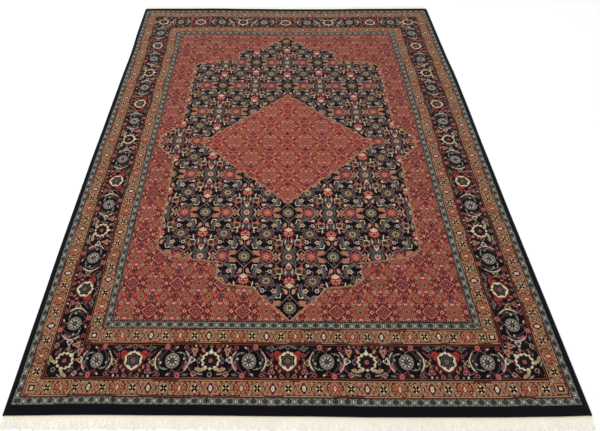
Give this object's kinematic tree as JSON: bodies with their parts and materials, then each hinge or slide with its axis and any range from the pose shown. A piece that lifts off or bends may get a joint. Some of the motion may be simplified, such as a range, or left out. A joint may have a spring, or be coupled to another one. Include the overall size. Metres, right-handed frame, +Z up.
{
  "type": "hand-knotted wool rug",
  "caption": "Rectangular knotted wool rug with a stepped central medallion, flowered borders, overcast sides and fringed woven ends, lying flat.",
  "frame": {"origin": "under the middle of the rug's outline, on the floor that it lies on", "axes": "+X across the rug to the right as pictured, +Y along it to the far end, +Z up out of the pile"},
  "size_m": [2.521, 3.539, 0.011],
  "materials": {
    "pile_wool": "sheared knotted wool pile with a faint sheen, brick red and near-black blue with tan, cream and slate figures",
    "selvedge_wool": "dark blue wool overcast over the side cords",
    "cotton": "undyed cotton, flat-woven web and loose warps"
  },
  "bodies": {
    "root": {"pile": "pile_wool", "selvedge_left": "selvedge_wool", "selvedge_right": "selvedge_wool", "web_near": "cotton", "web_far": "cotton"}
  },
  "joints": []
}
